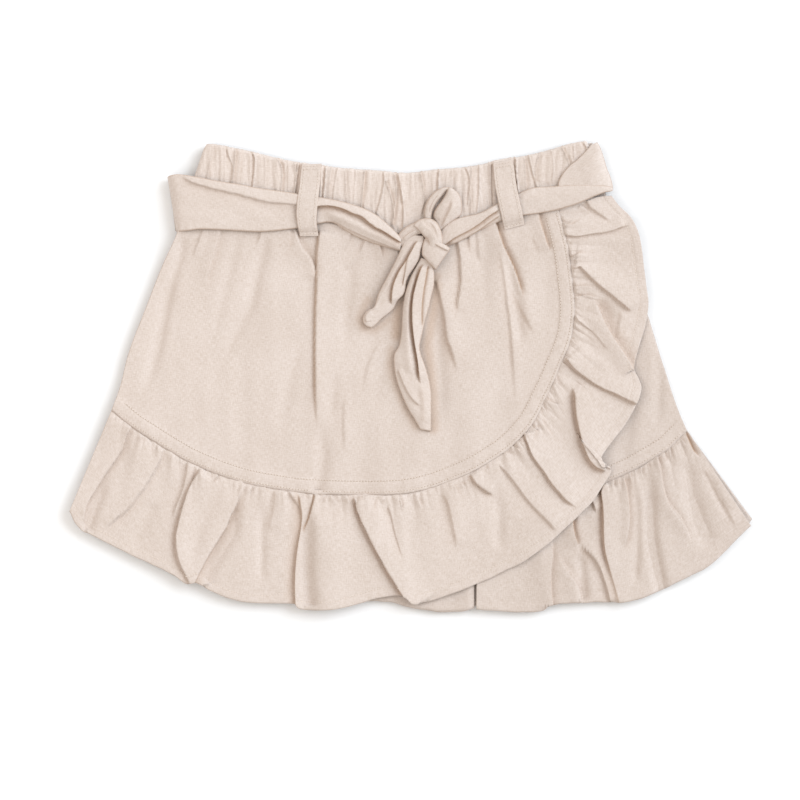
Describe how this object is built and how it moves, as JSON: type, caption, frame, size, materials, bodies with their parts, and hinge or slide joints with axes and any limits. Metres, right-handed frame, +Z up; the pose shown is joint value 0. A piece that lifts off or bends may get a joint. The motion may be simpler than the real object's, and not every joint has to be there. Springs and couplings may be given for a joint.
{
  "type": "skort",
  "caption": "Child's skort laid flat: shorts under a wrap front with a ruffled edge, gathered elastic waist, belt loops and a tied belt.",
  "frame": {"origin": "middle of the skort's outline, on the surface it lies on", "axes": "+X to the right of the skort as laid, +Y towards the waist, +Z up from the surface"},
  "size_m": [0.4098, 0.2826, 0.0148],
  "materials": {
    "linen": "matt plain-woven linen, washed and soft, pale beige",
    "belt_linen": "matt plain-woven linen, doubled, a little greyer than the panels"
  },
  "bodies": {
    "root": {"leg_back_left": "linen", "leg_back_right": "linen", "leg_front_left": "linen", "leg_front_right": "linen", "leg_ruffle_back_left": "linen", "leg_ruffle_back_right": "linen", "leg_ruffle_front_left": "linen", "leg_ruffle_front_right": "linen", "wrap_front": "linen", "wrap_ruffle": "linen", "waistband_back": "linen", "waistband_front": "linen", "belt_loop_back_left": "belt_linen", "belt_loop_back_right": "belt_linen", "belt_loop_front_left": "belt_linen", "belt_loop_front_right": "belt_linen", "belt_back": "belt_linen", "belt_left": "belt_linen", "belt_right": "belt_linen", "belt_right_fold": "belt_linen", "belt_bow": "belt_linen", "belt_knot": "belt_linen", "belt_band": "belt_linen", "belt_tail_left": "belt_linen", "belt_tail_right": "belt_linen"}
  },
  "joints": []
}
